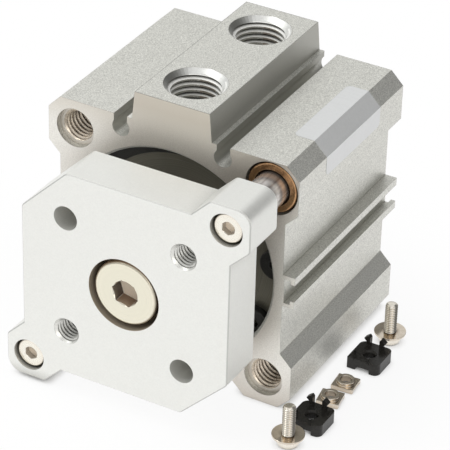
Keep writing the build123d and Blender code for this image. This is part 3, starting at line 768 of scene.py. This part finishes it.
# ---------------------------------------------------------------- loose slot nuts
# Square nuts pressed from steel sheet, with an extruded threaded boss, zinc plated bright.
# They lie loose, and in use they slide in the slot of the rail.
bright_plating = dict(
    metallic=1.0, rough=(0.05, 0.14), speckle_scale=2400.0, mark_scale=(500.0, 900.0, 500.0),
    marks=0.5, relief=0.004 * mm)
# The nuts carry painted highlights on their rims and painted shade round the boss and in the hole.
nut_skin = metal_finish(
    "bright_zinc_nut", light=(0.76, 0.68, 0.58), dark=(0.56, 0.49, 0.40),
    painted_edge_colour=(0.98, 0.95, 0.90), edge_width=0.16 * mm,
    hollow_shade_colour=(0.48, 0.37, 0.26), deep_reach=1.6 * mm, deep_gain=1.1, **bright_plating)
dress(["switch_nut_front", "switch_nut_rear"], nut_skin, edge_break=0.12 * mm)

# ---------------------------------------------------------------- loose kit screws and washers
# M3 pan head screws with a rolled thread, each with a split spring washer and a flat washer
# held captive under its head.  They stand on their heads.
thread_d = 3.0
thread_core_d = 2.45
thread_pitch = 0.5
crest_roundness = 0.8
tip_radius = 0.95
tip_slope = 0.9
head_d = 5.4
head_h = 1.8
head_edge = 0.12
head_rounding = ((0.8, 0), (0.3, 0.25), (0.05, 0.75), (0, 1.1))
screw_length = 10.7
# The screws and washers carry painted highlights on their edges and painted shade in their grooves and
# narrow places.
screw_skin = metal_finish(
    "bright_nickel_screw", light=(0.95, 0.90, 0.81), dark=(0.80, 0.74, 0.65),
    painted_edge_colour=(0.98, 0.95, 0.90), edge_width=0.12 * mm,
    hollow_shade_colour=(0.20, 0.14, 0.09), deep_reach=0.35 * mm, deep_gain=1.0, **bright_plating)
washer_skin = metal_finish(
    "bright_zinc_washer", light=(0.78, 0.70, 0.60), dark=(0.64, 0.56, 0.46),
    painted_edge_colour=(0.98, 0.96, 0.92), edge_width=0.16 * mm,
    hollow_shade_colour=(0.16, 0.115, 0.075), deep_reach=1.2 * mm, deep_gain=1.7, **bright_plating)


def kit_screw(name, place):
    """Pan head and threaded shank as one piece, head down."""
    shank_length = screw_length - head_h

    def rolled_radius(phase, height):
        ridge = (1 - abs(2 * phase - 1)) ** crest_roundness
        crest = thread_core_d / 2 + (thread_d - thread_core_d) / 2 * ridge
        to_tip = max(shank_length - height / mm, 0.0)
        return min(crest, tip_radius + to_tip * tip_slope) * mm

    shank = helical_bar(
        name, thread_pitch * mm, (shank_length - thread_pitch) * mm, rolled_radius, around=28)
    piece = bmesh.new()
    piece.from_mesh(shank.data)
    bmesh.ops.translate(piece, vec=(0, 0, head_h * mm), verts=piece.verts)
    profile = [(head_d / 2 - inset, height) for inset, height in head_rounding]
    profile += [(head_d / 2, head_h - head_edge), (head_d / 2 - head_edge, head_h)]
    around = 40
    rings = []
    for radius, height in profile:
        rings.append([piece.verts.new((
            radius * mm * math.cos(2 * math.pi * i / around),
            radius * mm * math.sin(2 * math.pi * i / around), height * mm)) for i in range(around)])
    for low, high in zip(rings, rings[1:]):
        for i in range(around):
            j = (i + 1) % around
            piece.faces.new((low[i], low[j], high[j], high[i]))
    piece.faces.new(rings[0][::-1])
    piece.faces.new(rings[-1])
    bmesh.ops.translate(piece, vec=place, verts=piece.verts)
    piece.to_mesh(shank.data)
    piece.free()
    return shank


for end in ("front", "rear"):
    low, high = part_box("switch_screw_" + end)
    screw = kit_screw(
        "kit_screw_" + end, ((low[0] + high[0]) / 2, (low[1] + high[1]) / 2, low[2]))
    coat(screw, screw_skin)
    screw.modifiers.new("machined_smoothing", "NODES").node_group = smooth_group
    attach(screw, "screw_" + end)
    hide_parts("switch_screw_" + end)
    dress(["spring_washer_" + end, "flat_washer_" + end], washer_skin, edge_break=0.06 * mm)

# ---------------------------------------------------------------- bare label place
# Thin silver film, wrapped from the top of the right shoulder over its chamfer on to the side
# and held by its own glue.  It is left blank.
film_front = -37.9
film_rear = -11.7
film_top_edge = 23.6
film_side_edge = 24.0
shoulder = 28.8
half_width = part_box("tube_body")[1][0] / mm
film_corner = 1.3
corner_steps = 6
bend_lean = math.radians(22.5)
film_lift = 0.02
film_thickness = 0.04


def label_film():
    """Strip that follows the shoulder, its chamfer and the side, with thin closed walls."""
    lean_x = math.sin(bend_lean)
    lean_z = math.cos(bend_lean)
    outward = [(0, 1), (lean_x, lean_z), (lean_z, lean_x), (1, 0)]
    insets = []
    for step in range(corner_steps + 1):
        angle = math.pi / 2 * step / corner_steps
        insets.append((film_corner * (1 - math.cos(angle)), film_corner * (1 - math.sin(angle))))
    slices = [(film_front + along, inset) for along, inset in insets]
    slices += [(film_rear - along, inset) for along, inset in reversed(insets)]
    strip = bmesh.new()
    low_rows = []
    high_rows = []
    for y, inset in slices:
        under = [(film_top_edge + inset, half_width), (shoulder, half_width),
                 (half_width, shoulder), (half_width, film_side_edge + inset)]
        for rows, lift in ((low_rows, film_lift), (high_rows, film_lift + film_thickness)):
            rows.append([strip.verts.new(((x + nx * lift) * mm, y * mm, (z + nz * lift) * mm))
                         for (x, z), (nx, nz) in zip(under, outward)])
    strips = [pair for rows in (low_rows, high_rows) for pair in zip(rows, rows[1:])]
    strips += [(low_rows[0], high_rows[0]), (low_rows[-1], high_rows[-1])]
    for a, b in strips:
        for k in range(len(outward) - 1):
            strip.faces.new((a[k], a[k + 1], b[k + 1], b[k]))
    for k in (0, -1):
        for i in range(len(slices) - 1):
            strip.faces.new((low_rows[i][k], low_rows[i + 1][k], high_rows[i + 1][k], high_rows[i][k]))
    return made_object("label_film", strip)


# The film's edges carry a painted dark line.
film_skin = metal_finish(
    "silver_film",
    light=(0.80, 0.805, 0.81), dark=(0.75, 0.755, 0.76), metallic=0.45, rough=(0.36, 0.46),
    speckle_scale=1800.0, mark_scale=(60.0, 900.0, 60.0), marks=0.4, relief=0.004 * mm,
    painted_edge_colour=(0.50, 0.50, 0.49), edge_width=0.12 * mm)
film = label_film()
coat(film, film_skin)
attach(film, "cylinder")
